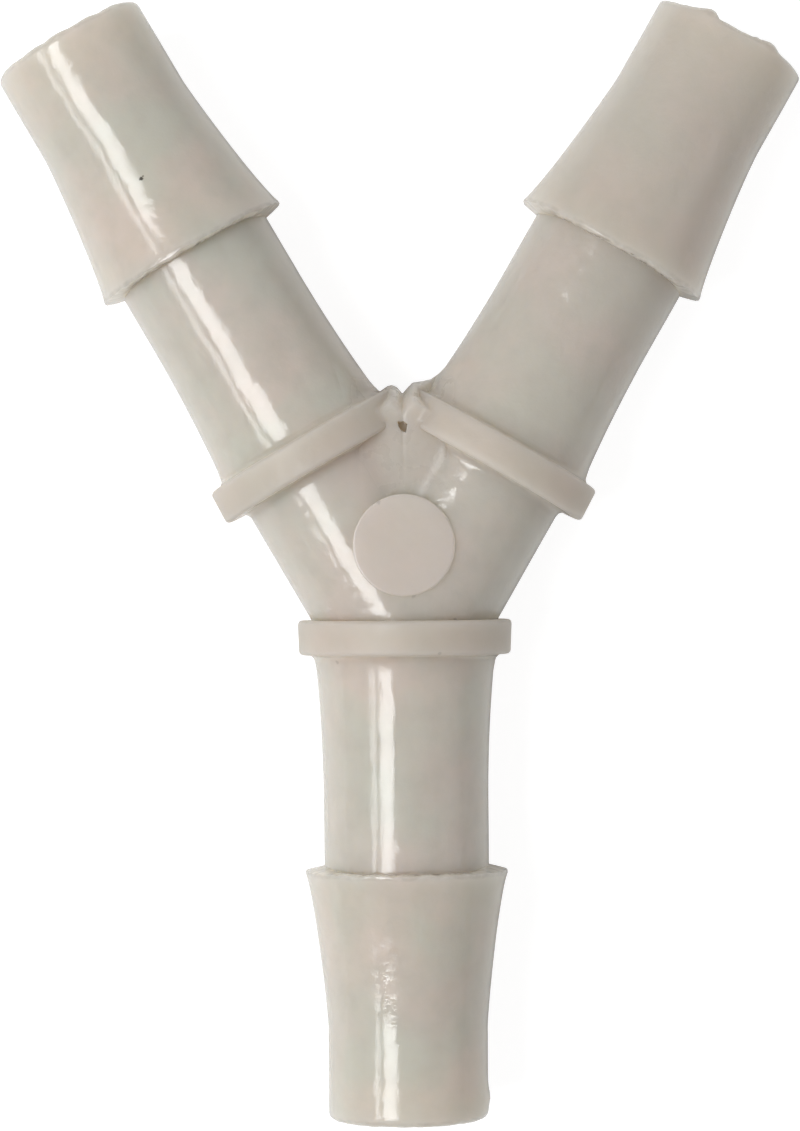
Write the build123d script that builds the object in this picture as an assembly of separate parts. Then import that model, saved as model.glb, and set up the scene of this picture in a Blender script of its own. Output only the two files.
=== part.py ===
from build123d import *

import os
from math import cos, radians, sin

# Tubing Y connector for 3/8 in (9.5 mm) hose, injection moulded in one piece.
# Three equal hose barbs leave a common hub: a single stem and a pair of arms.
# The model lies flat: +Y runs from the stem to the arms, +Z is up, lengths are in millimetres.
# It is built around the branch point, where the three bores cross, and moved at the end so
# that the origin is at the middle of the length, on the surface that the collars rest on.

# Layout of the three ports
STEM_DIRECTION = -90.0
ARM_DIRECTIONS = (60.0, 120.0)
STEM_COLLAR_START = 0.28
ARM_COLLAR_START = 9.7

# Hub and flow passages
HUB_RADIUS = 4.8
BORE_RADIUS = 3.4

# Collar that stops the hose
COLLAR_RADIUS = 6.18
COLLAR_DRAFT = 0.06
COLLAR_THICKNESS = 2.0
COLLAR_BEVEL = 0.2

# Neck that the hose closes down on, thicker where it leaves the collar
NECK_RADIUS = 4.75
NECK_ROOT_RADIUS = 5.2
NECK_ROOT_LENGTH = 8.6
NECK_LENGTH = 12.15

# Barb: a raked shoulder, a sharp lip and a concave trumpet that ends in a plain tip.
# The trumpet leaves the lip steeply and meets the tip in line with it: the fall is a share of
# the step from lip to tip, the reaches are shares of the trumpet's length.
SHOULDER_RAKE = 0.3
LIP_RADIUS = 5.83
LIP_LAND = 0.15
TRUMPET_LENGTH = 9.0
TRUMPET_LIP_FALL = 0.42
TRUMPET_LIP_REACH = 0.17
TRUMPET_TIP_REACH = 0.13
BARB_LENGTH = 14.35
TIP_RADIUS = 4.6
TIP_EDGE_RADIUS = 0.45
TIP_EDGE_STEPS = 3

# Round flat ejector pads on the top and the underside of the hub
PAD_RADIUS = 2.9
PAD_OFFSET = 4.0
PAD_HEIGHT = 5.0
PAD_BEVEL = 0.1

# Web that closes the crotch between the arms, with a three-cornered pit in each face
WEB_HEIGHT = 2.0
WEB_TOP = 12.8
PIT_FLOOR_HEIGHT = 0.15
PIT_POINT = 10.15
PIT_BASE = 10.8
PIT_BASE_WIDTH = 0.7
PIT_DRAFT_ANGLE = 3.0

# Spare length that takes a bore cleanly through the end of its port
CUT_ALLOWANCE = 1.0


def port_tip(collar_start):
    """Distance from the branch point to the end of a port."""
    return collar_start + COLLAR_THICKNESS + NECK_LENGTH + SHOULDER_RAKE + BARB_LENGTH


def port_plane(direction):
    """Plane at the branch point whose normal runs out along a port."""
    angle = radians(direction)
    return Plane(origin=(0, 0, 0), x_dir=(0, 0, 1), z_dir=(cos(angle), sin(angle), 0))


def tip_edge_points(tip):
    """Points round the quarter turn of the tip's edge, in equal steps from its side to its end."""
    turns = [radians(90 * step / TIP_EDGE_STEPS) for step in range(TIP_EDGE_STEPS + 1)]
    side = TIP_RADIUS - TIP_EDGE_RADIUS
    start = tip - TIP_EDGE_RADIUS
    return [(side + TIP_EDGE_RADIUS * cos(t), start + TIP_EDGE_RADIUS * sin(t)) for t in turns]


def port(direction, collar_start):
    """Solid port, turned from a half section: X is the radius, Y the distance from the branch point."""
    collar_end = collar_start + COLLAR_THICKNESS
    root_end = collar_end + NECK_ROOT_LENGTH
    shoulder = collar_end + NECK_LENGTH
    lip = shoulder + SHOULDER_RAKE
    land_end = lip + LIP_LAND
    trumpet_end = land_end + TRUMPET_LENGTH
    tip = port_tip(collar_start)
    root_step = NECK_ROOT_RADIUS - NECK_RADIUS
    root_arc_radius = (NECK_ROOT_LENGTH**2 + root_step**2) / (2 * root_step)
    lip_step = LIP_RADIUS - TIP_RADIUS

    collar = Polyline(
        (0, 0),
        (HUB_RADIUS, 0),
        (HUB_RADIUS, collar_start),
        (COLLAR_RADIUS, collar_start),
        (COLLAR_RADIUS - COLLAR_DRAFT, collar_end),
        (NECK_ROOT_RADIUS, collar_end),
    )
    neck_root = RadiusArc((NECK_ROOT_RADIUS, collar_end), (NECK_RADIUS, root_end), root_arc_radius)
    shoulder_and_lip = Polyline(
        (NECK_RADIUS, root_end),
        (NECK_RADIUS, shoulder),
        (LIP_RADIUS, lip),
        (LIP_RADIUS, land_end),
    )
    trumpet = Bezier(
        (LIP_RADIUS, land_end),
        (LIP_RADIUS - TRUMPET_LIP_FALL * lip_step, land_end + TRUMPET_LIP_REACH * TRUMPET_LENGTH),
        (TIP_RADIUS, trumpet_end - TRUMPET_TIP_REACH * TRUMPET_LENGTH),
        (TIP_RADIUS, trumpet_end),
    )
    tip_and_axis = Polyline((TIP_RADIUS, trumpet_end), *tip_edge_points(tip), (0, tip), (0, 0))
    section = make_face([collar, neck_root, shoulder_and_lip, trumpet, tip_and_axis])

    hub_side_corner, outer_corner = section.vertices().sort_by(Axis.X)[:-3:-1]
    section = chamfer([hub_side_corner, outer_corner], COLLAR_BEVEL)
    return port_plane(direction).location * revolve(Plane.XZ * section, Axis.Z)


def bore(direction, collar_start):
    """Flow passage from the branch point out through the mouth of a port."""
    length = port_tip(collar_start) + CUT_ALLOWANCE
    passage = Cylinder(BORE_RADIUS, length, align=(Align.CENTER, Align.CENTER, Align.MIN))
    return port_plane(direction).location * passage


def ejector_pads():
    """Upright pin through the hub, whose two ends are the flat pads."""
    pin = Cylinder(PAD_RADIUS, 2 * PAD_HEIGHT)
    pin = chamfer(pin.edges().filter_by(GeomType.CIRCLE), PAD_BEVEL)
    return Pos(0, PAD_OFFSET, 0) * pin


def crotch_web():
    """Flat web between the arms, its side corners buried in the middle of the arm collars."""
    buried = ARM_COLLAR_START + COLLAR_THICKNESS / 2
    corners = [(buried * cos(radians(a)), buried * sin(radians(a))) for a in ARM_DIRECTIONS]
    outline = make_face(Polyline((0, 0), corners[0], (0, WEB_TOP), corners[1], (0, 0)))
    return extrude(outline, WEB_HEIGHT, both=True)


def crotch_pits():
    """Three-cornered pits, tapering inwards to the thin skin at mid-thickness."""
    half_width = PIT_BASE_WIDTH / 2
    rim = make_face(
        Polyline((0, PIT_POINT), (half_width, PIT_BASE), (-half_width, PIT_BASE), (0, PIT_POINT))
    )
    depth = WEB_HEIGHT - PIT_FLOOR_HEIGHT
    upper = extrude(Pos(0, 0, WEB_HEIGHT) * rim, -depth, taper=PIT_DRAFT_ANGLE)
    return upper + mirror(upper, Plane.XY)


def y_connector():
    """The whole moulding, about the branch point."""
    ports = [(STEM_DIRECTION, STEM_COLLAR_START)]
    ports += [(direction, ARM_COLLAR_START) for direction in ARM_DIRECTIONS]

    body = ejector_pads() + crotch_web()
    for direction, collar_start in ports:
        body += port(direction, collar_start)
    body -= crotch_pits()
    for direction, collar_start in ports:
        body -= bore(direction, collar_start)
    return body


def laid_on_surface(body):
    """Move the origin to the middle of the length, on the surface under the collars."""
    box = body.bounding_box()
    return Pos(0, -box.center().Y, -box.min.Z) * body


os.makedirs("parts", exist_ok=True)
connector = laid_on_surface(y_connector())
export_step(connector, "parts/y_connector.step")
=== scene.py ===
import math

import bpy
import numpy as np
from mathutils import Matrix, Vector, noise


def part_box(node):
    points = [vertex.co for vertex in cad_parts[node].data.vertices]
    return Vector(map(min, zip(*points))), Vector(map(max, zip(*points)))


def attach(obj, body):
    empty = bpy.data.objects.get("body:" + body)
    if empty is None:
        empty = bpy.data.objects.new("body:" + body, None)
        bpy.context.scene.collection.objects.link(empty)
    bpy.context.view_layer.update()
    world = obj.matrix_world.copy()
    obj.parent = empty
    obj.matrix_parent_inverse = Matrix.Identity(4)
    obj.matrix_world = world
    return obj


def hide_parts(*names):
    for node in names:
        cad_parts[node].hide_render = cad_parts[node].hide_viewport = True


# A tubing Y connector of natural polypropylene, lying on a white surface.
# The moulding is rebuilt here at a finer resolution than the CAD mesh, with the same sections
# and a fuller web, so that its lips, tips and flash can be as uneven as the real ones.
# Sections are in millimetres: a radius, and a distance from the branch point along a port.

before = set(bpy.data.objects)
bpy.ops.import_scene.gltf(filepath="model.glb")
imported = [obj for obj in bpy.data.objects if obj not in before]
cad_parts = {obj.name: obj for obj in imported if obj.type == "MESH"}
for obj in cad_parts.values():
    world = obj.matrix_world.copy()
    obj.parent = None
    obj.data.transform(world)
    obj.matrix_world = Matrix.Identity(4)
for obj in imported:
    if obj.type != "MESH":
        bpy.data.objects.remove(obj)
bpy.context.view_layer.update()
NODE = "y_connector"

MM = 0.001

# The branch point, where the axes of the ports cross, is placed from the node's own box
STEM_TIP = 29.08
BRANCH = Vector((0.0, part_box(NODE)[0].y / MM + STEM_TIP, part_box(NODE)[1].z / MM / 2))

# Layout of the ports: direction in degrees from +X, and where the collar starts along it
PORTS = {
    "stem": (-90.0, 0.28),
    "right_arm": (60.0, 9.7),
    "left_arm": (120.0, 9.7),
}

# Section of a port, as in the solid
HUB_RADIUS = 4.8
BORE_RADIUS = 3.4
COLLAR_RADIUS = BRANCH.z  # the part rests on its collars
COLLAR_DRAFT = 0.06
COLLAR_THICKNESS = 2.0
NECK_RADIUS = 4.75
NECK_ROOT_RADIUS = 5.2
NECK_ROOT_LENGTH = 8.6
NECK_LENGTH = 12.15
SHOULDER_RAKE = 0.3
LIP_RADIUS = 5.83
LIP_LAND = 0.15
TRUMPET_LENGTH = 9.0
TRUMPET_LIP_FALL = 0.42
TRUMPET_LIP_REACH = 0.17
TRUMPET_TIP_REACH = 0.13
BARB_LENGTH = 14.35
TIP_RADIUS = 4.6
TIP_EDGE_RADIUS = 0.45

# Small roundings that the mould gives its edges and corners
COLLAR_EDGE_RADIUS = 0.24
COLLAR_FOOT_RADIUS = 0.45
LIP_EDGE_RADIUS = 0.05
MOUTH_EDGE_RADIUS = 0.15

# How far the ports and their bores run past the branch point, so that they join cleanly
PORT_OVERLAP = 0.02
BORE_OVERLAP = 0.015

# How far a port's end face runs inside its bore, and how a bore's plug clears the end
END_FACE_MARGIN = 0.6
PLUG_MARGIN = 0.2
PLUG_RISE = 0.3
PLUG_CLEARANCE = 1.0

# Where the hub's rows begin, and the gaps that rows leave before and after a collar's feet
HUB_ROWS_START = 0.5
HUB_ROWS_GAP = 0.2
NECK_ROWS_GAP = 0.1

# Flat pads on the hub, one on each face
PAD_RADIUS = 2.9
PAD_OFFSET = 4.0
PAD_HEIGHT = 5.0
PAD_EDGE_RADIUS = 0.1

# Small pit in each face of the web: its outline from above, and how much smaller its floor is
PIT_TOP = 4.3
PIT_DEPTH = 0.9
PIT_RIM = (
    (-0.38, 11.10), (0.06, 11.14), (0.34, 10.92), (0.22, 10.32), (-0.10, 10.42), (-0.32, 10.76),
)
PIT_TAPER = 0.7
PIT_CLEARANCE = 1.0

# Fill of the crotch: a flat web that joins the arms and their collars.
# Its rim is the outline that closes the V between the collars, with flash on the right.
# The web is flat out to FILL_FLAT from the middle and ends at FILL_REACH. Each goes from its
# first value to its second over FILL_NARROWING, two distances from the branch point.
FILL_RIM = (
    (-4.0, 14.5), (-2.4, 14.2), (-1.9, 13.45), (-1.33, 12.9), (-0.86, 13.22), (-0.62, 13.26),
    (-0.35, 13.16), (-0.02, 12.76), (0.32, 13.16), (0.58, 13.40), (1.1, 13.47), (1.62, 13.58),
    (2.08, 13.9), (2.4, 14.2), (4.0, 14.5),
)
FILL_START = 5.2
FILL_BLEND = 0.15
FILL_WEB_HEIGHT = 4.1
FILL_FLAT = (2.3, 0.3)
FILL_REACH = (4.0, 2.2)
FILL_NARROWING = (11.0, 12.5)
FILL_SEAM_DEPTH = 0.05
FILL_SEAM_WIDTH = 0.12
FILL_RIM_HEIGHT = 0.35
FILL_RIM_ROUND = 1.5

# At its sides and its start the fill fades to a little below the arms, over these lengths
FILL_SIDE_FADE = 1.0
FILL_START_FADE = 1.5
FILL_SINK = 0.15

# The arms as the fill meets them: how the collar's sides rise, and how the neck falls
ARM_COLLAR_INSET = 0.1
ARM_COLLAR_RISE = 0.3
ARM_NECK_SLOPE = 0.05

# Uneven skin, lips and tips. Each wave has a height, a scale round the port, a length along it
# (endless where it doesn't change along the port) and a seed of its own.
SKIN_WAVES = ((0.016, 1.3, 6.0, 0), (0.004, 3.0, 1.5, 3))
LIP_WAVES = ((0.05, 2.2, math.inf, 5), (0.06, 9, math.inf, 9), (0.05, 26, math.inf, 11))
TIP_WAVES = ((0.03, 1.7, math.inf, 13), (0.03, 8, math.inf, 17))
SEED_SPACING = 17.3
COLLAR_WAVE = -0.5
COLLAR_WAVE_FOOT = 0.3
COLLAR_WAVE_END = 1.0
LIP_WAVE_LENGTH = 0.5
LIP_WAVE_FOOT = 5.0
LIP_WAVE_RISE = 0.86
TIP_WAVE_LENGTH = 0.8
UPPER_RIM_BLEND = 0.15

# Undercut at the foot of each lip, above and below the parting line
UNDERCUT_DEPTH = 0.07
UNDERCUT_LENGTH = 0.12
UNDERCUT_SPREAD = 1.6

# Small bulge beside the stem's tip, on the right
STEM_BULGE = 0.12
STEM_BULGE_BACK = 1.2
STEM_BULGE_LENGTH = 0.5
STEM_BULGE_FOCUS = 12

# Flash and chips along the end of each port: how much longer it is at a place across its
# upper rim. The stem has none.
TIP_OUTLINE = {
    "stem": ((-4.6, 0.0), (4.6, 0.0)),
    "right_arm": (
        (-4.6, -0.3), (-3.5, -0.3), (-2.6, -0.14), (-2.2, 0.0), (-1.8, 0.12), (-1.5, 0.1),
        (-1.15, -0.18), (0.2, -0.2), (1.0, -0.12), (1.25, 0.02), (1.4, -0.04), (1.7, 0.06),
        (2.0, 0.14), (2.4, 0.1), (2.8, -0.1), (4.0, -0.2), (4.6, -0.25),
    ),
    "left_arm": (
        (-4.6, 0.0), (-3.4, 0.05), (-2.6, -0.05), (-1.7, 0.04), (-1.2, -0.04), (-0.3, 0.05),
        (0.5, -0.04), (1.5, 0.03), (2.3, -0.05), (3.2, 0.04), (4.6, 0.0),
    ),
}

# Specks in the skin: place from the branch point, radius, and strength from 0 to 1
MARKS = (
    (-14.71, 24.85, 5.03, 0.13, 0.95),
    (-14.60, 25.02, 5.00, 0.07, 0.7),
    (13.02, 20.33, 5.55, 0.12, 0.5),
    (14.77, 19.21, 4.37, 0.12, 0.4),
    (-1.41, 6.46, 4.99, 0.16, 0.22),
    (0.55, 1.12, 4.80, 0.14, 0.2),
    (2.87, -0.27, 4.02, 0.14, 0.25),
    (1.99, -2.14, 5.76, 0.14, 0.22),
    (-3.81, -2.62, 3.49, 0.14, 0.2),
)
MARK_RAGGEDNESS = 1.6
MARK_REACH = 1.8
MARK_CORE = 0.75

# Painted shade: fine dark lines at a lip's foot and edge, round a tip's end and at a collar's
# feet, where shade falls: strength, and how far each line runs from what it follows
LIP_EDGE_SHADE = 0.3
TIP_LINE = 0.18
COLLAR_LINE = 0.15
LIP_FOOT_REACH = 0.25
LIP_FOOT_MARGIN = 0.1
LIP_EDGE_REACH = 0.22
LIP_EDGE_DEPTH = 0.12
TIP_LINE_LENGTH = 0.3
TIP_LINE_DEPTH = 0.6
COLLAR_LINE_REACH = 0.12
COLLAR_LINE_STOP = 0.3
SLACK = 0.02  # for points that lie on a bound

# Satin on the web, where a collar is 1 and the polished skin is 0, and where it lies
WEB_SATIN = 0.4
WEB_HALF_WIDTH = 3.0
WEB_SPAN = (5.5, 13.6)
WEB_LOWEST = 1.5
WEB_MARGIN = 0.15
SATIN_SIDE_MARGIN = 0.05
SATIN_FOOT_MARGIN = 0.2
SATIN_RIM_MARGIN = 0.1

# Mesh resolution
RING_POINTS = 184
BORE_POINTS = 96
PAD_POINTS = 96
FILL_COLUMNS = 129
FILL_ROWS = 120
SHARP_ANGLE = 32

# Colours of the plastic with its painted shade and painted rim light, of the painted shade lines,
# and of the specks in it
GREENISH_MILK = (0.57, 0.552, 0.478, 1)
PINKISH_MILK = (0.635, 0.548, 0.482, 1)
# Painted shade, mixed in towards the right side
PAINTED_RIGHT_SHADE = (0.54, 0.475, 0.42, 1)
MOTTLED_MILK = (0.52, 0.48, 0.42, 1)
PAD_MILK = (0.69, 0.59, 0.53, 1)
SATIN_MILK = (0.50, 0.44, 0.385, 1)
# Painted rim light, where the surface turns away
PAINTED_RIM_LIGHT = (0.80, 0.745, 0.655, 1)
# Painted shade in the lines at the lips, the tips' ends and the collars' feet
SHADE_LINE_COLOUR = (0.20, 0.175, 0.14, 1)
MARK_COLOUR = (0.05, 0.04, 0.03, 1)

# Noise in the plastic: scale, and detail
CLOUD_NOISE = (190.0, 3.0)
MOTTLE_NOISE = (620.0, 3.0)
BREAK_NOISE = (1500.0, 2.0)
RAGGED_NOISE = (6000.0, 2.0)
HAZE_NOISE = (900.0, 4.0)
WAVE_NOISE = (330.0, 2.0)
GRAIN_NOISE = (1400.0, 3.0)

# Ranges: from a low and a high value, to what they become
CLOUD_RANGE = (0.36, 0.62, 0.0, 1.0)
# Painted shade: darker towards +X
PAINTED_RIGHT_SHADE_RANGE = (-0.001, 0.018, 0.0, 0.65)
MOTTLE_RANGE = (0.42, 0.72, 0.0, 0.5)
PAD_RANGE = (0.0, 1.0, 0.0, 0.6)
SATIN_RANGE = (0.0, 1.0, 0.0, 0.6)
# Painted rim light, and how much less of it there is on satin
PAINTED_RIM_LIGHT_RANGE = (0.36, 0.9, 0.0, 0.72)
RIM_LIGHT_SATIN_RANGE = (0.0, 1.0, 1.0, 0.2)
BREAK_RANGE = (0.38, 0.62, 0.15, 0.85)
GLOSS_RANGE = (0.3, 0.7, 0.08, 0.19)
SATIN_ROUGHNESS = 0.4
# How the painted rim light follows the turn of the surface
RIM_BLEND = 0.5

# Light inside the plastic, with the scale in metres, and its refraction
SCATTER_WEIGHT = 0.9
SCATTER_RADIUS = (1.0, 0.9, 0.75)
SCATTER_SCALE = 0.005
REFRACTION = 1.49

# Bumps in the skin: strength, and height in metres
WAVE_BUMP = (0.3, 0.00024)
GRAIN_BUMP = (0.3, 0.00008)

# Floor: half its width in metres, what it reflects, what the camera sees of that, and the lift
FLOOR_REACH = 1.5
PAPER = (0.9, 0.9, 0.9, 1)
SEEN_PAPER = (0.36, 0.36, 0.36, 1)
SEEN_LIFT = 0.87

# Camera: lens and sensor in millimetres, place and clipping in metres, turns in radians
CAMERA_LENS = 136.4
CAMERA_SENSOR = (24.0, 36.0)
CAMERA_CLIP = (0.01, 10.0)
CAMERA_PLACE = (0.000635, -0.00026, 0.25376)
CAMERA_ROLL = -0.00828
CAMERA_LEAN = (-0.00036, 0.00355)

# Lights: azimuth, angle from upright, distance and sides in metres, and power in watts
LIGHTS = {
    "window_pane": (185, 26, 0.42, (0.1365, 0.25), 1.05),
    "window_edge_pane": (185, 45, 0.42, (0.05, 0.25), 0.24),
    "low_fill": (30, 74, 0.42, (0.5, 0.6), 0.37),
}
WORLD_COLOUR = (1, 1, 1, 1)
WORLD_STRENGTH = 0.29


# ---------------------------------------------------------------- numbers and curves


def smooth_noise(x, y, z, seed):
    """Smooth random value from about -1 to 1 at a point."""
    return noise.noise(Vector((x, y, z + SEED_SPACING * seed)))


def wave_sum(waves, x, y, along, seed):
    """Sum of waves at a place round and along a port."""
    return sum(
        height * smooth_noise(scale * x, scale * y, along / length, seed + own_seed)
        for height, scale, length, own_seed in waves
    )


def clamp(value):
    """The value, kept between 0 and 1."""
    return max(0.0, min(1.0, value))


def ease(value):
    """Smooth step from 0 to 1."""
    return value * value * (3 - 2 * value)


def look_up(value, pairs):
    """Value between the pairs of a table."""
    return float(np.interp(value, [pair[0] for pair in pairs], [pair[1] for pair in pairs]))


def arc(centre, radius, start, end, steps):
    """Points of an arc in the section, angles in degrees from the radius axis."""
    return [
        (
            centre[0] + radius * math.cos(math.radians(start + (end - start) * i / steps)),
            centre[1] + radius * math.sin(math.radians(start + (end - start) * i / steps)),
        )
        for i in range(steps + 1)
    ]


def straight(start, end, steps):
    """Evenly spaced points from start to end, both included."""
    return [
        (start[0] + (end[0] - start[0]) * i / steps, start[1] + (end[1] - start[1]) * i / steps)
        for i in range(steps + 1)
    ]


def cubic(points, steps):
    """Points of a cubic Bezier curve."""
    curve = []
    for i in range(steps + 1):
        t = i / steps
        weights = ((1 - t) ** 3, 3 * t * (1 - t) ** 2, 3 * t * t * (1 - t), t**3)
        curve.append(tuple(sum(w * p[axis] for w, p in zip(weights, points)) for axis in (0, 1)))
    return curve


# ---------------------------------------------------------------- section of a port


def lip_place(collar_start):
    """Distance from the branch point to the widest part of a port's lip."""
    return collar_start + COLLAR_THICKNESS + NECK_LENGTH + SHOULDER_RAKE


def tip_place(collar_start):
    """Distance from the branch point to a port's end."""
    return lip_place(collar_start) + BARB_LENGTH


def collar_rows(collar_start, collar_end):
    """Outline from the branch point over the collar."""
    outer = COLLAR_RADIUS - COLLAR_DRAFT
    edge, foot = COLLAR_EDGE_RADIUS, COLLAR_FOOT_RADIUS
    rows = [(0.0, -PORT_OVERLAP), (HUB_RADIUS, -PORT_OVERLAP)]
    if collar_start > HUB_ROWS_START:
        rows_end = collar_start - foot - HUB_ROWS_GAP
        rows += straight((HUB_RADIUS, HUB_ROWS_START), (HUB_RADIUS, rows_end), 14)
        rows += arc((HUB_RADIUS + foot, collar_start - foot), foot, 180, 90, 3)
    else:
        rows += [(HUB_RADIUS, collar_start)]
    rows += arc((COLLAR_RADIUS - edge, collar_start + edge), edge, -90, 0, 5)
    rows += straight((COLLAR_RADIUS, collar_start + edge), (outer, collar_end - edge), 5)[1:-1]
    rows += arc((outer - edge, collar_end - edge), edge, 0, 90, 5)
    return rows


def neck_root(collar_end, steps):
    """Concave stretch from the collar down to the plain neck, as one large arc."""
    step = NECK_ROOT_RADIUS - NECK_RADIUS
    radius = (NECK_ROOT_LENGTH**2 + step**2) / (2 * step)
    rows = []
    for i in range(steps + 1):
        along = NECK_ROOT_LENGTH * i / steps
        fall = radius - math.sqrt(radius**2 - (NECK_ROOT_LENGTH - along) ** 2)
        rows.append((NECK_RADIUS + fall, collar_end + along))
    return rows


def neck_rows(collar_end, shoulder):
    """Outline of the neck, from the collar's foot to the shoulder."""
    foot = COLLAR_FOOT_RADIUS
    root_end = collar_end + NECK_ROOT_LENGTH
    rows = arc((NECK_ROOT_RADIUS + foot, collar_end + foot), foot, 270, 180, 3)
    root_start = collar_end + foot + NECK_ROWS_GAP
    rows += [row for row in neck_root(collar_end, 18) if row[1] > root_start]
    rows += straight((NECK_RADIUS, root_end), (NECK_RADIUS, shoulder), 12)[1:]
    return rows


def lip_rows(shoulder, lip):
    """Outline of the raked shoulder and the lip's edge."""
    inner = LIP_RADIUS - LIP_EDGE_RADIUS
    rows = straight((NECK_RADIUS, shoulder), (inner, lip), 4)[1:]
    rows += arc((inner, lip + LIP_EDGE_RADIUS), LIP_EDGE_RADIUS, -60, 0, 2)
    return rows


def trumpet_rows(land_end, trumpet_end):
    """Outline of the curve that falls from the lip to the plain tip."""
    lip_step = LIP_RADIUS - TIP_RADIUS
    below_lip = LIP_RADIUS - TRUMPET_LIP_FALL * lip_step
    corners = (
        (LIP_RADIUS, land_end),
        (below_lip, land_end + TRUMPET_LIP_REACH * TRUMPET_LENGTH),
        (TIP_RADIUS, trumpet_end - TRUMPET_TIP_REACH * TRUMPET_LENGTH),
        (TIP_RADIUS, trumpet_end),
    )
    return cubic(corners, 34)


def tip_rows(trumpet_end, tip):
    """Outline of the plain tip, its rounded edge and its end face."""
    edge = TIP_EDGE_RADIUS
    rows = straight((TIP_RADIUS, trumpet_end), (TIP_RADIUS, tip - edge), 14)[1:-1]
    rows += arc((TIP_RADIUS - edge, tip - edge), edge, 0, 90, 7)
    rows += straight((TIP_RADIUS - edge, tip), (BORE_RADIUS - END_FACE_MARGIN, tip), 6)[1:]
    rows += [(0.0, tip)]
    return rows


def port_section(collar_start):
    """The port's outline from the branch point to its end, with its edges rounded."""
    collar_end = collar_start + COLLAR_THICKNESS
    shoulder = collar_end + NECK_LENGTH
    lip = lip_place(collar_start)
    land_end = lip + LIP_LAND
    trumpet_end = land_end + TRUMPET_LENGTH
    rows = collar_rows(collar_start, collar_end)
    rows += neck_rows(collar_end, shoulder)
    rows += lip_rows(shoulder, lip)
    rows += trumpet_rows(land_end, trumpet_end)
    rows += tip_rows(trumpet_end, tip_place(collar_start))
    return rows


# ---------------------------------------------------------------- uneven skin
# x and y are the cosine and sine of the turn round a port. x is up, and y is across.


def stem_bulge(y, from_tip):
    """Height of the bulge beside the stem's tip."""
    near = math.exp(-(((from_tip + STEM_BULGE_BACK) / STEM_BULGE_LENGTH) ** 2))
    return STEM_BULGE * max(0.0, -y) ** STEM_BULGE_FOCUS * near


def shoulder_shift(radius, from_lip, x):
    """Shift of the shoulder, raked at the parting line and slightly undercut away from it."""
    foot = math.exp(-((from_lip + SHOULDER_RAKE) / UNDERCUT_LENGTH) ** 2)
    foot *= max(0.0, 1 - (radius - NECK_RADIUS) / (LIP_RADIUS - NECK_RADIUS))
    return foot * (SHOULDER_RAKE + UNDERCUT_DEPTH) * min(1.0, UNDERCUT_SPREAD * x * x)


def lip_shift(radius, from_lip, wave):
    """Shift of the lip's edge by its waves."""
    near = math.exp(-(from_lip / LIP_WAVE_LENGTH) ** 2)
    near *= max(0.0, (radius - LIP_WAVE_FOOT) / LIP_WAVE_RISE)
    return near * wave


def tip_shift(from_tip, x, across, wave, outline):
    """Shift of a port's end by its waves, and on its upper half by its flash and chips."""
    near = clamp((from_tip + TIP_WAVE_LENGTH) / TIP_WAVE_LENGTH)
    upper = clamp((x + UPPER_RIM_BLEND) / (2 * UPPER_RIM_BLEND))
    return near * (wave + upper * look_up(across, outline))


def uneven(port_name):
    """How a port's surface departs from its section, as a function of radius, place and turn."""
    seed = list(PORTS).index(port_name) + 1
    collar_start = PORTS[port_name][1]
    past_collar = collar_start + COLLAR_THICKNESS + COLLAR_WAVE_END
    lip, tip = lip_place(collar_start), tip_place(collar_start)
    outline = TIP_OUTLINE[port_name]

    def change(radius, along, turn):
        x, y = math.cos(turn), math.sin(turn)
        swell = wave_sum(SKIN_WAVES, x, y, along, seed)
        lip_wave = wave_sum(LIP_WAVES, x, y, along, seed)
        tip_wave = wave_sum(TIP_WAVES, x, y, along, seed)

        # The collars only ever fall short of their radius, because the part rests on them
        if radius > NECK_ROOT_RADIUS + COLLAR_WAVE_FOOT and along < past_collar:
            swell = COLLAR_WAVE * abs(swell)
        if port_name == "stem":
            swell += stem_bulge(y, along - tip)

        place = along + shoulder_shift(radius, along - lip, x)
        place += lip_shift(radius, along - lip, lip_wave)
        place += tip_shift(along - tip, x, radius * y, tip_wave, outline)
        return radius + swell, place

    return change


# ---------------------------------------------------------------- meshes


def new_mesh(name, verts, faces):
    """Mesh from points and faces."""
    mesh = bpy.data.meshes.new(name)
    mesh.from_pydata(verts, [], faces)
    return mesh


def turned_mesh(name, rows, points, change=None):
    """Closed mesh of a section turned about Z. The first and last rows lie on the axis."""
    verts = [(0.0, 0.0, rows[0][1])]
    for radius, along in rows[1:-1]:
        for k in range(points):
            turn = 2 * math.pi * k / points
            r, s = (radius, along) if change is None else change(radius, along, turn)
            verts.append((r * math.cos(turn), r * math.sin(turn), s))
    verts.append((0.0, 0.0, rows[-1][1]))
    last = len(verts) - 1
    rings = len(rows) - 2
    faces = []
    for k in range(points):
        after = (k + 1) % points
        faces.append((0, 1 + after, 1 + k))
        faces.append((last, last - points + k, last - points + after))
        for ring in range(rings - 1):
            low = 1 + ring * points
            high = low + points
            faces.append((low + k, low + after, high + after, high + k))
    return new_mesh(name, verts, faces)


def prism_mesh(name, bottom, top, low, high):
    """Closed prism between two outlines of the same length, anticlockwise from above."""
    count = len(bottom)
    verts = [(x, y, low) for x, y in bottom] + [(x, y, high) for x, y in top]
    faces = [tuple(reversed(range(count))), tuple(range(count, 2 * count))]
    faces += [(i, (i + 1) % count, count + (i + 1) % count, count + i) for i in range(count)]
    return new_mesh(name, verts, faces)


def pad_mesh():
    """Round pin through the hub, whose two ends are the pads."""
    edge = PAD_EDGE_RADIUS
    rim = arc((PAD_RADIUS - edge, PAD_HEIGHT - edge), edge, 0, 90, 4)
    rim += straight((PAD_RADIUS - edge, PAD_HEIGHT), (PAD_RADIUS / 2, PAD_HEIGHT), 16)[1:]
    lower = [(radius, -height) for radius, height in reversed(rim)]
    rows = [(0.0, -PAD_HEIGHT)] + lower + rim + [(0.0, PAD_HEIGHT)]
    return turned_mesh("pad", rows, PAD_POINTS)


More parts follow.
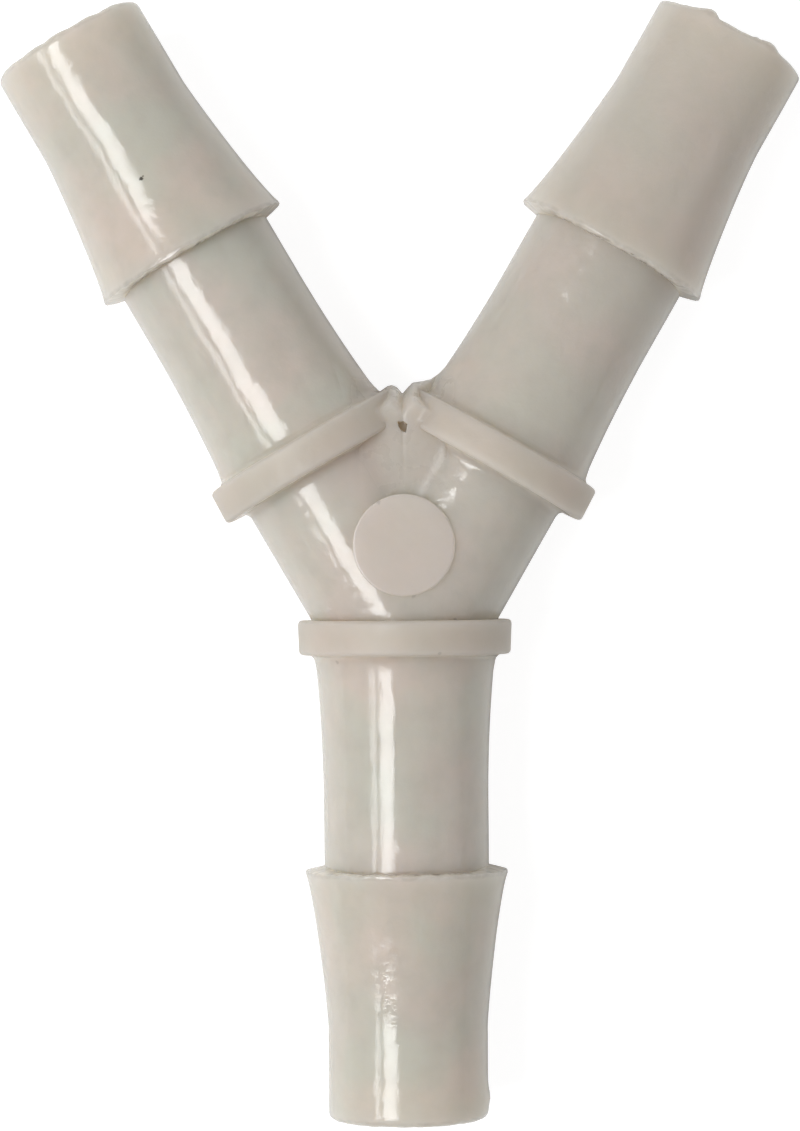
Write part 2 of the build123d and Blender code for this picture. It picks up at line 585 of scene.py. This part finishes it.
def pit_meshes():
    """The plugs that cut the pits, one from above and one from below."""
    centre = tuple(sum(point[axis] for point in PIT_RIM) / len(PIT_RIM) for axis in (0, 1))
    rim = [point for point in reversed(PIT_RIM)]
    floor = [tuple(c + PIT_TAPER * (p - c) for p, c in zip(point, centre)) for point in rim]
    inside, outside = PIT_TOP - PIT_DEPTH, PIT_TOP + PIT_CLEARANCE
    return (
        prism_mesh("pit", floor, rim, inside, outside),
        prism_mesh("pit", rim, floor, -outside, -inside),
    )


def bore_mesh(tip):
    """Plug that cuts a port's bore and rounds its mouth."""
    mouth = BORE_RADIUS + MOUTH_EDGE_RADIUS
    clear = mouth + PLUG_MARGIN
    rows = [(0.0, -BORE_OVERLAP)]
    rows += straight((BORE_RADIUS, -BORE_OVERLAP), (BORE_RADIUS, tip - END_FACE_MARGIN), 20)
    rows += arc((mouth, tip - MOUTH_EDGE_RADIUS), MOUTH_EDGE_RADIUS, 180, 90, 4)
    rows += [(clear, tip + PLUG_RISE), (clear, tip + PLUG_CLEARANCE), (0.0, tip + PLUG_CLEARANCE)]
    return turned_mesh("bore", rows, BORE_POINTS)


# ---------------------------------------------------------------- fill of the crotch


def port_height(port_name, x, y):
    """Height of an arm's surface above the middle plane, 0 beside the arm."""
    direction, collar_start = PORTS[port_name]
    angle = math.radians(direction)
    along = x * math.cos(angle) + y * math.sin(angle)
    across = y * math.cos(angle) - x * math.sin(angle)
    collar_end = collar_start + COLLAR_THICKNESS
    inset = ARM_COLLAR_INSET
    if along < collar_start + inset:
        radius = HUB_RADIUS
    elif along < collar_end - inset:
        before, after = along - collar_start - inset, collar_end - inset - along
        rise = min(1.0, before / ARM_COLLAR_RISE, after / ARM_COLLAR_RISE)
        base = HUB_RADIUS if along < collar_start + COLLAR_THICKNESS / 2 else NECK_ROOT_RADIUS
        radius = base + (COLLAR_RADIUS - COLLAR_DRAFT - base) * math.sqrt(rise)
    else:
        radius = NECK_ROOT_RADIUS - ARM_NECK_SLOPE * (along - collar_end)
    return math.sqrt(max(radius**2 - across**2, 0.0))


def web_height(x, y, rim):
    """Height of the web: flat in the middle, falling to its rim and its sides."""
    inward = clamp((rim - y) / FILL_RIM_ROUND)
    flat = float(np.interp(y, FILL_NARROWING, FILL_FLAT))
    reach = float(np.interp(y, FILL_NARROWING, FILL_REACH))
    beside = clamp((abs(x) - flat) / (reach - flat))
    rise = math.sqrt(1 - (1 - inward) ** 2) * (1 - ease(beside))
    return FILL_RIM_HEIGHT + (FILL_WEB_HEIGHT - FILL_RIM_HEIGHT) * rise


def fill_height(x, y, rim):
    """Height of the fill: web and arms blended, with a fine seam, and faded out at its edges."""
    left, right = port_height("left_arm", x, y), port_height("right_arm", x, y)
    heights = (left, right, web_height(x, y, rim))
    blend = FILL_BLEND * math.log(sum(math.exp(height / FILL_BLEND) for height in heights))
    fade = ((y - FILL_START) / (rim - FILL_START)) ** 2
    blend -= FILL_SEAM_DEPTH * fade * math.exp(-((x / FILL_SEAM_WIDTH) ** 2))
    buried = max(left, right, FILL_RIM_HEIGHT) - FILL_SINK
    from_side = (FILL_RIM[-1][0] - abs(x)) / FILL_SIDE_FADE
    keep = ease(min(from_side, (y - FILL_START) / FILL_START_FADE, 1.0))
    return keep * blend + (1 - keep) * buried


def fill_tops():
    """Points of the fill's upper face, column by column from the left."""
    half_width = FILL_RIM[-1][0]
    tops = []
    for i in range(FILL_COLUMNS):
        x = half_width * (2 * i / (FILL_COLUMNS - 1) - 1)
        rim = look_up(x, FILL_RIM)
        for j in range(FILL_ROWS):
            y = FILL_START + (rim - FILL_START) * j / (FILL_ROWS - 1)
            tops.append((x, y, fill_height(x, y, rim)))
    return tops


def crotch_fill_mesh():
    """Closed piece whose upper and lower faces fill the crotch between the arms."""
    tops = fill_tops()
    count = len(tops)
    verts = tops + [(x, y, -z) for x, y, z in tops]
    faces = []
    for i in range(FILL_COLUMNS - 1):
        for j in range(FILL_ROWS - 1):
            a = i * FILL_ROWS + j
            quad = (a, a + FILL_ROWS, a + FILL_ROWS + 1, a + 1)
            faces.append(quad)
            faces.append(tuple(count + v for v in reversed(quad)))
    last = (FILL_COLUMNS - 1) * FILL_ROWS
    for j in range(FILL_ROWS - 1):
        faces.append((j, j + 1, count + j + 1, count + j))
        faces.append((last + j + 1, last + j, count + last + j, count + last + j + 1))
    for i in range(FILL_COLUMNS - 1):
        low, high = i * FILL_ROWS, i * FILL_ROWS + FILL_ROWS - 1
        faces.append((low + FILL_ROWS, low, count + low, count + low + FILL_ROWS))
        faces.append((high, high + FILL_ROWS, count + high + FILL_ROWS, count + high))
    return new_mesh("crotch_fill", verts, faces)


# ---------------------------------------------------------------- marks on the mesh


def from_branch(mesh):
    """The mesh's points, in millimetres from the branch point."""
    places = np.empty(3 * len(mesh.vertices))
    mesh.vertices.foreach_get("co", places)
    return places.reshape(-1, 3) - np.array(BRANCH)


def along_port(places, direction):
    """How far points are along a port, and from its axis."""
    angle = math.radians(direction)
    along = places[:, 0] * math.cos(angle) + places[:, 1] * math.sin(angle)
    across = places[:, 1] * math.cos(angle) - places[:, 0] * math.sin(angle)
    return along, np.hypot(across, places[:, 2])


def store(mesh, name, values):
    """Keep a value at each of the mesh's points, for the material."""
    mesh.attributes.new(name, "FLOAT", "POINT").data.foreach_set("value", values)


def mark_satin(mesh):
    """Store where the mould is less polished: 1 on the collars, less on the web, 0 elsewhere."""
    places = from_branch(mesh)
    satin = np.zeros(len(places))
    x, y, height = abs(places[:, 0]), places[:, 1], abs(places[:, 2])
    on_web = (x < WEB_HALF_WIDTH) & (y > WEB_SPAN[0]) & (y < WEB_SPAN[1])
    on_web &= (height > WEB_LOWEST) & (height < FILL_WEB_HEIGHT + WEB_MARGIN)
    satin[on_web] = WEB_SATIN
    for direction, collar_start in PORTS.values():
        along, radius = along_port(places, direction)
        on_collar = along > collar_start - SATIN_SIDE_MARGIN
        on_collar &= along < collar_start + COLLAR_THICKNESS + SATIN_SIDE_MARGIN
        on_collar &= radius > NECK_ROOT_RADIUS + SATIN_FOOT_MARGIN
        on_collar &= radius < COLLAR_RADIUS + SATIN_RIM_MARGIN
        satin[on_collar] = 1.0
    store(mesh, "satin", satin)


def mark_shade_lines(mesh):
    """Store the painted shade lines: on the lips, round the tips' ends and at the collars' feet.
    """
    places = from_branch(mesh)
    shade_lines = np.zeros(len(places))
    for direction, collar_start in PORTS.values():
        along, radius = along_port(places, direction)
        from_lip = abs(along - lip_place(collar_start))
        lip_edge = LIP_RADIUS - LIP_EDGE_DEPTH
        at_lip = (from_lip < LIP_FOOT_REACH) & (radius > NECK_RADIUS + LIP_FOOT_MARGIN)
        at_lip &= radius < lip_edge
        at_edge = (from_lip < LIP_EDGE_REACH) & (radius >= lip_edge)
        at_tip = along > tip_place(collar_start) - TIP_LINE_LENGTH
        at_tip &= radius > TIP_RADIUS - TIP_LINE_DEPTH
        inner = (abs(along - collar_start) < COLLAR_LINE_REACH) & (radius > HUB_RADIUS + SLACK)
        outer = abs(along - collar_start - COLLAR_THICKNESS) < COLLAR_LINE_REACH
        outer &= radius > NECK_ROOT_RADIUS
        shade_lines[at_lip] = (places[at_lip, 2] / radius[at_lip]) ** 2
        shade_lines[at_edge] = LIP_EDGE_SHADE
        shade_lines[at_tip] = TIP_LINE
        shade_lines[(inner | outer) & (radius < COLLAR_RADIUS - COLLAR_LINE_STOP)] = COLLAR_LINE
    store(mesh, "shade_lines", shade_lines)


def mark_pads(mesh):
    """Store where the flat ends of the pads are: 1 on them, 0 elsewhere."""
    places = from_branch(mesh)
    inside = np.hypot(places[:, 0], places[:, 1] - PAD_OFFSET) < PAD_RADIUS + SLACK
    on_pad = inside & (abs(places[:, 2]) > PAD_HEIGHT - PAD_EDGE_RADIUS - SLACK)
    store(mesh, "pad", on_pad.astype(float))


# ---------------------------------------------------------------- the moulding


def port_frame(direction):
    """Matrix that lays a port's own Z axis along its direction, with its own X axis up."""
    angle = math.radians(direction)
    along = Vector((math.cos(angle), math.sin(angle), 0))
    up = Vector((0, 0, 1))
    side = along.cross(up)
    axes = Matrix((up, side, along)).transposed().to_4x4()
    return Matrix.Translation(BRANCH) @ axes


def placed(mesh, matrix):
    """Object for a mesh, moved into the row frame, still in millimetres."""
    mesh.transform(matrix)
    item = bpy.data.objects.new(mesh.name, mesh)
    bpy.context.scene.collection.objects.link(item)
    return item


def combine(body, tool, operation):
    """Apply one boolean of tool to body and delete tool."""
    modifier = body.modifiers.new(operation.lower(), "BOOLEAN")
    modifier.operation = operation
    modifier.solver = "MANIFOLD"
    modifier.object = tool
    bpy.context.view_layer.update()
    depsgraph = bpy.context.evaluated_depsgraph_get()
    result = bpy.data.meshes.new_from_object(body.evaluated_get(depsgraph))
    body.modifiers.clear()
    old, body.data = body.data, result
    bpy.data.meshes.remove(old)
    bpy.data.objects.remove(tool, do_unlink=True)


def build_ports():
    """The three ports, solid and joined at the branch point."""
    body = None
    for name, (direction, collar_start) in PORTS.items():
        mesh = turned_mesh(name, port_section(collar_start), RING_POINTS, uneven(name))
        port = placed(mesh, port_frame(direction))
        if body is None:
            body = port
        else:
            combine(body, port, "UNION")
    return body


def build_connector():
    """The whole moulding as one closed mesh, in metres."""
    body = build_ports()
    pad_place = Matrix.Translation(BRANCH + Vector((0, PAD_OFFSET, 0)))
    branch_place = Matrix.Translation(BRANCH)
    combine(body, placed(pad_mesh(), pad_place), "UNION")
    combine(body, placed(crotch_fill_mesh(), branch_place), "UNION")
    for pit in pit_meshes():
        combine(body, placed(pit, branch_place), "DIFFERENCE")
    for direction, collar_start in PORTS.values():
        bore = bore_mesh(tip_place(collar_start))
        combine(body, placed(bore, port_frame(direction)), "DIFFERENCE")
    mark_satin(body.data)
    mark_shade_lines(body.data)
    mark_pads(body.data)
    body.name = "moulding"
    body.data.name = "moulding"
    body.data.transform(Matrix.Scale(MM, 4))
    return body


# ---------------------------------------------------------------- materials


def new_material(name):
    """Material with an empty node tree."""
    material = bpy.data.materials.new(name)
    material.use_nodes = True
    tree = material.node_tree
    tree.nodes.clear()
    return material, tree


def noise_node(tree, place, kind):
    """Noise in the part's own coordinates."""
    texture = tree.nodes.new("ShaderNodeTexNoise")
    texture.inputs["Scale"].default_value, texture.inputs["Detail"].default_value = kind
    tree.links.new(place.outputs["Object"], texture.inputs["Vector"])
    return texture.outputs["Fac"]


def range_node(tree, source, limits):
    """A value mapped from one range to another and clamped."""
    node = tree.nodes.new("ShaderNodeMapRange")
    for key, value in zip(("From Min", "From Max", "To Min", "To Max"), limits):
        node.inputs[key].default_value = value
    tree.links.new(source, node.inputs["Value"])
    return node.outputs["Result"]


def math_node(tree, operation, *values):
    """Result of an operation on sockets and fixed numbers."""
    node = tree.nodes.new("ShaderNodeMath")
    node.operation = operation
    for socket, value in zip(node.inputs, values):
        if isinstance(value, float):
            socket.default_value = value
        else:
            tree.links.new(value, socket)
    return node.outputs["Value"]


def stored_value(tree, name):
    """A value that the mesh keeps at its points."""
    node = tree.nodes.new("ShaderNodeAttribute")
    node.attribute_name = name
    return node.outputs["Fac"]


def mix_colours(tree, factor, first, second):
    """Mix of two colours, each a socket or a fixed colour."""
    node = tree.nodes.new("ShaderNodeMix")
    node.data_type = "RGBA"
    tree.links.new(factor, node.inputs["Factor"])
    for key, value in (("A", first), ("B", second)):
        socket = [i for i in node.inputs if i.name == key and i.type == "RGBA"][0]
        if isinstance(value, tuple):
            socket.default_value = value
        else:
            tree.links.new(value, socket)
    return [o for o in node.outputs if o.type == "RGBA"][0]


def bump_node(tree, height, kind, under=None):
    """Normal of a bump, laid over another normal if one is given."""
    node = tree.nodes.new("ShaderNodeBump")
    node.inputs["Strength"].default_value, node.inputs["Distance"].default_value = kind
    tree.links.new(height, node.inputs["Height"])
    if under is not None:
        tree.links.new(under, node.inputs["Normal"])
    return node.outputs["Normal"]


def near_mark(tree, place, ragged, mark):
    """The speck's strength within its ragged outline, falling to 0 outside it."""
    x, y, z, radius, strength = mark
    gap = tree.nodes.new("ShaderNodeVectorMath")
    gap.operation = "DISTANCE"
    gap.inputs[1].default_value = (Vector((x, y, z)) + BRANCH) * MM
    tree.links.new(place.outputs["Object"], gap.inputs[0])
    wander = radius * MM * MARK_RAGGEDNESS
    far = math_node(tree, "MULTIPLY_ADD", ragged, wander, gap.outputs["Value"])
    reach = radius * MM * MARK_REACH
    return range_node(tree, far, (MARK_CORE * reach, reach, strength, 0.0))


def milk_colour(tree, place, satin):
    """Clouds from a greenish to a pinkish milk, with painted shade darkening the right side, and
    a faint mottle.
    """
    cloud = range_node(tree, noise_node(tree, place, CLOUD_NOISE), CLOUD_RANGE)
    milk = mix_colours(tree, cloud, GREENISH_MILK, PINKISH_MILK)
    apart = tree.nodes.new("ShaderNodeSeparateXYZ")
    tree.links.new(place.outputs["Object"], apart.inputs["Vector"])
    # Painted shade: darker towards +X, where the window's light falls off across the part
    right_shade = range_node(tree, apart.outputs["X"], PAINTED_RIGHT_SHADE_RANGE)
    milk = mix_colours(tree, right_shade, milk, PAINTED_RIGHT_SHADE)
    mottle = range_node(tree, noise_node(tree, place, MOTTLE_NOISE), MOTTLE_RANGE)
    milk = mix_colours(tree, mottle, milk, MOTTLED_MILK)
    pad = range_node(tree, stored_value(tree, "pad"), PAD_RANGE)
    milk = mix_colours(tree, pad, milk, PAD_MILK)
    return mix_colours(tree, range_node(tree, satin, SATIN_RANGE), milk, SATIN_MILK)


def with_painted_rim_light(tree, satin, milk):
    """The milk with painted rim light: lighter where its surface turns away from the camera, as
    light thrown back from the floor makes it, and less so on satin.
    """
    facing = tree.nodes.new("ShaderNodeLayerWeight")
    facing.inputs["Blend"].default_value = RIM_BLEND
    rim = range_node(tree, facing.outputs["Facing"], PAINTED_RIM_LIGHT_RANGE)
    lit_rim = math_node(tree, "MULTIPLY", rim, range_node(tree, satin, RIM_LIGHT_SATIN_RANGE))
    return mix_colours(tree, lit_rim, milk, PAINTED_RIM_LIGHT)


def marked_colour(tree, place, milk):
    """The milk with its broken lines of painted shade and its specks."""
    # Painted shade along the lips, the tips' ends and the collars' feet, broken by noise
    breaks = range_node(tree, noise_node(tree, place, BREAK_NOISE), BREAK_RANGE)
    drawn_shade = math_node(tree, "MULTIPLY", stored_value(tree, "shade_lines"), breaks)
    colour = mix_colours(tree, drawn_shade, milk, SHADE_LINE_COLOUR)
    ragged = noise_node(tree, place, RAGGED_NOISE)
    for mark in MARKS:
        colour = mix_colours(tree, near_mark(tree, place, ragged, mark), colour, MARK_COLOUR)
    return colour


def polypropylene():
    """Natural polypropylene: milky, slightly cloudy, with the mould's faint polish marks."""
    material, tree = new_material("natural_polypropylene")
    link = tree.links.new
    output = tree.nodes.new("ShaderNodeOutputMaterial")
    shader = tree.nodes.new("ShaderNodeBsdfPrincipled")
    shader.inputs["Subsurface Weight"].default_value = SCATTER_WEIGHT
    shader.inputs["Subsurface Radius"].default_value = SCATTER_RADIUS
    shader.inputs["Subsurface Scale"].default_value = SCATTER_SCALE
    shader.inputs["IOR"].default_value = REFRACTION
    link(shader.outputs["BSDF"], output.inputs["Surface"])
    place = tree.nodes.new("ShaderNodeTexCoord")
    satin = stored_value(tree, "satin")

    milk = with_painted_rim_light(tree, satin, milk_colour(tree, place, satin))
    link(marked_colour(tree, place, milk), shader.inputs["Base Color"])

    gloss = range_node(tree, noise_node(tree, place, HAZE_NOISE), GLOSS_RANGE)
    roughness = math_node(tree, "MULTIPLY_ADD", satin, SATIN_ROUGHNESS, gloss)
    link(roughness, shader.inputs["Roughness"])

    wave = bump_node(tree, noise_node(tree, place, WAVE_NOISE), WAVE_BUMP)
    skin = bump_node(tree, noise_node(tree, place, GRAIN_NOISE), GRAIN_BUMP, wave)
    link(skin, shader.inputs["Normal"])
    return material


def paper_floor():
    """White surface. The camera sees it lifted to white, with the shadow left in."""
    material, tree = new_material("paper_floor")
    link = tree.links.new
    output = tree.nodes.new("ShaderNodeOutputMaterial")
    paper = tree.nodes.new("ShaderNodeBsdfDiffuse")
    paper.inputs["Color"].default_value = PAPER
    seen_paper = tree.nodes.new("ShaderNodeBsdfDiffuse")
    seen_paper.inputs["Color"].default_value = SEEN_PAPER
    lift = tree.nodes.new("ShaderNodeEmission")
    lift.inputs["Strength"].default_value = SEEN_LIFT
    seen = tree.nodes.new("ShaderNodeAddShader")
    link(seen_paper.outputs["BSDF"], seen.inputs[0])
    link(lift.outputs["Emission"], seen.inputs[1])
    rays = tree.nodes.new("ShaderNodeLightPath")
    mix = tree.nodes.new("ShaderNodeMixShader")
    link(rays.outputs["Is Camera Ray"], mix.inputs["Fac"])
    link(paper.outputs["BSDF"], mix.inputs[1])
    link(seen.outputs["Shader"], mix.inputs[2])
    link(mix.outputs["Shader"], output.inputs["Surface"])
    return material


# ---------------------------------------------------------------- stage, camera and light


def build_floor():
    """White floor that the part lies on."""
    size = FLOOR_REACH
    corners = [(-size, -size, 0), (size, -size, 0), (size, size, 0), (-size, size, 0)]
    mesh = new_mesh("floor", corners, [(0, 1, 2, 3)])
    floor = bpy.data.objects.new("floor", mesh)
    bpy.context.scene.collection.objects.link(floor)
    floor.data.materials.append(paper_floor())


def build_camera():
    """Camera above the middle of the part, looking almost straight down."""
    data = bpy.data.cameras.new("camera")
    data.sensor_fit = "VERTICAL"
    data.sensor_width, data.sensor_height = CAMERA_SENSOR
    data.lens = CAMERA_LENS
    data.clip_start, data.clip_end = CAMERA_CLIP
    camera = bpy.data.objects.new("camera", data)
    bpy.context.scene.collection.objects.link(camera)
    lean_x, lean_y = CAMERA_LEAN
    turn = Matrix.Rotation(lean_y, 4, "Y") @ Matrix.Rotation(lean_x, 4, "X")
    turn = turn @ Matrix.Rotation(CAMERA_ROLL, 4, "Z")
    camera.matrix_world = Matrix.Translation(CAMERA_PLACE) @ turn
    bpy.context.scene.camera = camera


def area_light(name, azimuth, polar, distance, size, energy):
    """Rectangular light aimed at the part from a direction given in degrees."""
    data = bpy.data.lights.new(name, "AREA")
    data.shape = "RECTANGLE"
    data.size, data.size_y = size
    data.energy = energy
    light = bpy.data.objects.new(name, data)
    bpy.context.scene.collection.objects.link(light)
    a, p = math.radians(azimuth), math.radians(polar)
    away = Vector((math.sin(p) * math.cos(a), math.sin(p) * math.sin(a), math.cos(p)))
    light.location = away * distance
    light.rotation_euler = away.to_track_quat("Z", "X").to_euler()


def build_world():
    """Even white light from all round."""
    world = bpy.data.worlds.new("studio")
    bpy.context.scene.world = world
    world.use_nodes = True
    tree = world.node_tree
    tree.nodes.clear()
    output = tree.nodes.new("ShaderNodeOutputWorld")
    soft = tree.nodes.new("ShaderNodeBackground")
    soft.inputs["Color"].default_value = WORLD_COLOUR
    soft.inputs["Strength"].default_value = WORLD_STRENGTH
    tree.links.new(soft.outputs["Background"], output.inputs["Surface"])


# ---------------------------------------------------------------- assembly

moulding = build_connector()
moulding.data.materials.clear()
moulding.data.materials.append(polypropylene())
moulding.data.polygons.foreach_set("material_index", [0] * len(moulding.data.polygons))
moulding.data.shade_smooth()
moulding.data.set_sharp_from_angle(angle=math.radians(SHARP_ANGLE))
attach(moulding, "root")
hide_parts(NODE)

build_floor()
build_camera()
for light_name, settings in LIGHTS.items():
    area_light(light_name, *settings)
build_world()

bpy.context.scene.view_settings.view_transform = "Standard"
